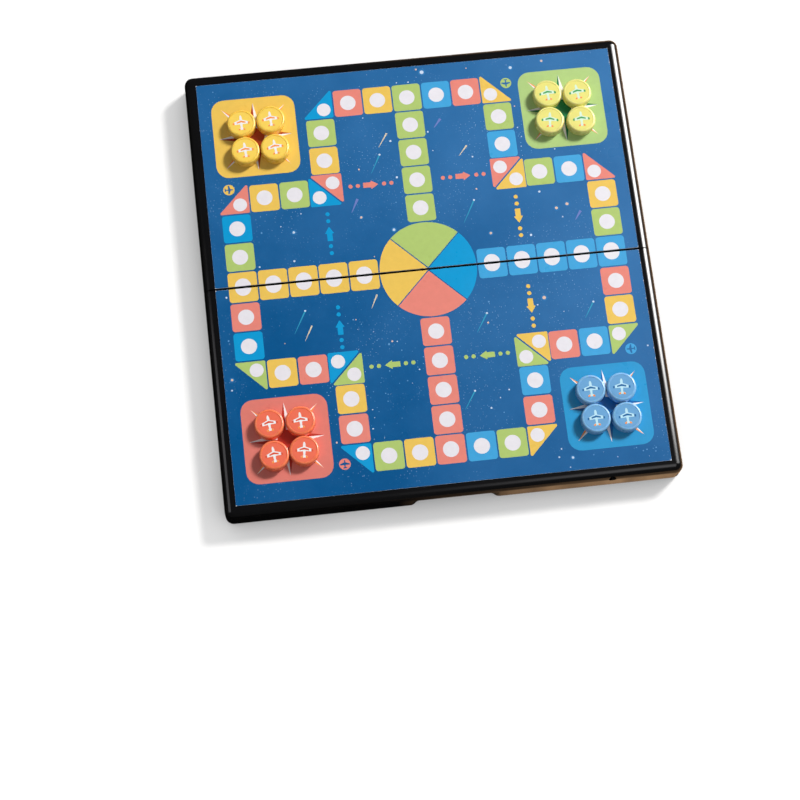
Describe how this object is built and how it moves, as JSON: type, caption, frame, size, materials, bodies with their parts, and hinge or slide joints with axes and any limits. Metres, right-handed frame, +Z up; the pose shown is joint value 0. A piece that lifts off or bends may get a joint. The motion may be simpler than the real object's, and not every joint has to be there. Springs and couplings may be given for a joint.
{
  "type": "folding board game box",
  "caption": "Hinged pair of shallow trays that opens flat into a race-game board, with magnetic playing discs on its corner bases, and folds shut to store them.",
  "frame": {"origin": "middle of the open board, on the surface it stands on (centre of the bounding box's bottom)", "axes": "+X along the folding seam, +Y towards the rear half, +Z up out of the playing face"},
  "size_m": [0.2444, 0.2526, 0.0222],
  "materials": {
    "shell_plastic": "glossy moulded ABS",
    "printed_sheet": "printed, satin film",
    "steel_plate": "tinned sheet",
    "pin_steel": "drawn wire",
    "magnet": "plated",
    "yellow_plastic": "satin moulded",
    "green_plastic": "satin moulded",
    "red_plastic": "satin moulded",
    "blue_plastic": "satin moulded"
  },
  "bodies": {
    "front": {"front_shell": "shell_plastic", "front_steel_plate": "steel_plate", "front_playing_sheet": "printed_sheet", "left_hinge_pin": "pin_steel", "right_hinge_pin": "pin_steel"},
    "rear": {"rear_shell": "shell_plastic", "rear_steel_plate": "steel_plate", "rear_playing_sheet": "printed_sheet"},
    "yellow_piece_1": {"yellow_disc_1": "yellow_plastic", "yellow_magnet_1": "magnet"},
    "yellow_piece_2": {"yellow_disc_2": "yellow_plastic", "yellow_magnet_2": "magnet"},
    "yellow_piece_3": {"yellow_disc_3": "yellow_plastic", "yellow_magnet_3": "magnet"},
    "yellow_piece_4": {"yellow_disc_4": "yellow_plastic", "yellow_magnet_4": "magnet"},
    "green_piece_1": {"green_disc_1": "green_plastic", "green_magnet_1": "magnet"},
    "green_piece_2": {"green_disc_2": "green_plastic", "green_magnet_2": "magnet"},
    "green_piece_3": {"green_disc_3": "green_plastic", "green_magnet_3": "magnet"},
    "green_piece_4": {"green_disc_4": "green_plastic", "green_magnet_4": "magnet"},
    "red_piece_1": {"red_disc_1": "red_plastic", "red_magnet_1": "magnet"},
    "red_piece_2": {"red_disc_2": "red_plastic", "red_magnet_2": "magnet"},
    "red_piece_3": {"red_disc_3": "red_plastic", "red_magnet_3": "magnet"},
    "red_piece_4": {"red_disc_4": "red_plastic", "red_magnet_4": "magnet"},
    "blue_piece_1": {"blue_disc_1": "blue_plastic", "blue_magnet_1": "magnet"},
    "blue_piece_2": {"blue_disc_2": "blue_plastic", "blue_magnet_2": "magnet"},
    "blue_piece_3": {"blue_disc_3": "blue_plastic", "blue_magnet_3": "magnet"},
    "blue_piece_4": {"blue_disc_4": "blue_plastic", "blue_magnet_4": "magnet"}
  },
  "joints": [
    {"name": "board_fold", "type": "hinge", "parent": "front", "child": "rear", "pos_m": [0, 0, 0.0024], "axis": [-1, 0, 0], "range_deg": [0, 180]},
    {"name": "yellow_lift_1", "type": "slide", "parent": "rear", "child": "yellow_piece_1", "axis": [0, 0, 1], "range_m": [0, 0.03]},
    {"name": "yellow_lift_2", "type": "slide", "parent": "rear", "child": "yellow_piece_2", "axis": [0, 0, 1], "range_m": [0, 0.03]},
    {"name": "yellow_lift_3", "type": "slide", "parent": "rear", "child": "yellow_piece_3", "axis": [0, 0, 1], "range_m": [0, 0.03]},
    {"name": "yellow_lift_4", "type": "slide", "parent": "rear", "child": "yellow_piece_4", "axis": [0, 0, 1], "range_m": [0, 0.03]},
    {"name": "green_lift_1", "type": "slide", "parent": "rear", "child": "green_piece_1", "axis": [0, 0, 1], "range_m": [0, 0.03]},
    {"name": "green_lift_2", "type": "slide", "parent": "rear", "child": "green_piece_2", "axis": [0, 0, 1], "range_m": [0, 0.03]},
    {"name": "green_lift_3", "type": "slide", "parent": "rear", "child": "green_piece_3", "axis": [0, 0, 1], "range_m": [0, 0.03]},
    {"name": "green_lift_4", "type": "slide", "parent": "rear", "child": "green_piece_4", "axis": [0, 0, 1], "range_m": [0, 0.03]},
    {"name": "red_lift_1", "type": "slide", "parent": "front", "child": "red_piece_1", "axis": [0, 0, 1], "range_m": [0, 0.03]},
    {"name": "red_lift_2", "type": "slide", "parent": "front", "child": "red_piece_2", "axis": [0, 0, 1], "range_m": [0, 0.03]},
    {"name": "red_lift_3", "type": "slide", "parent": "front", "child": "red_piece_3", "axis": [0, 0, 1], "range_m": [0, 0.03]},
    {"name": "red_lift_4", "type": "slide", "parent": "front", "child": "red_piece_4", "axis": [0, 0, 1], "range_m": [0, 0.03]},
    {"name": "blue_lift_1", "type": "slide", "parent": "front", "child": "blue_piece_1", "axis": [0, 0, 1], "range_m": [0, 0.03]},
    {"name": "blue_lift_2", "type": "slide", "parent": "front", "child": "blue_piece_2", "axis": [0, 0, 1], "range_m": [0, 0.03]},
    {"name": "blue_lift_3", "type": "slide", "parent": "front", "child": "blue_piece_3", "axis": [0, 0, 1], "range_m": [0, 0.03]},
    {"name": "blue_lift_4", "type": "slide", "parent": "front", "child": "blue_piece_4", "axis": [0, 0, 1], "range_m": [0, 0.03]}
  ]
}
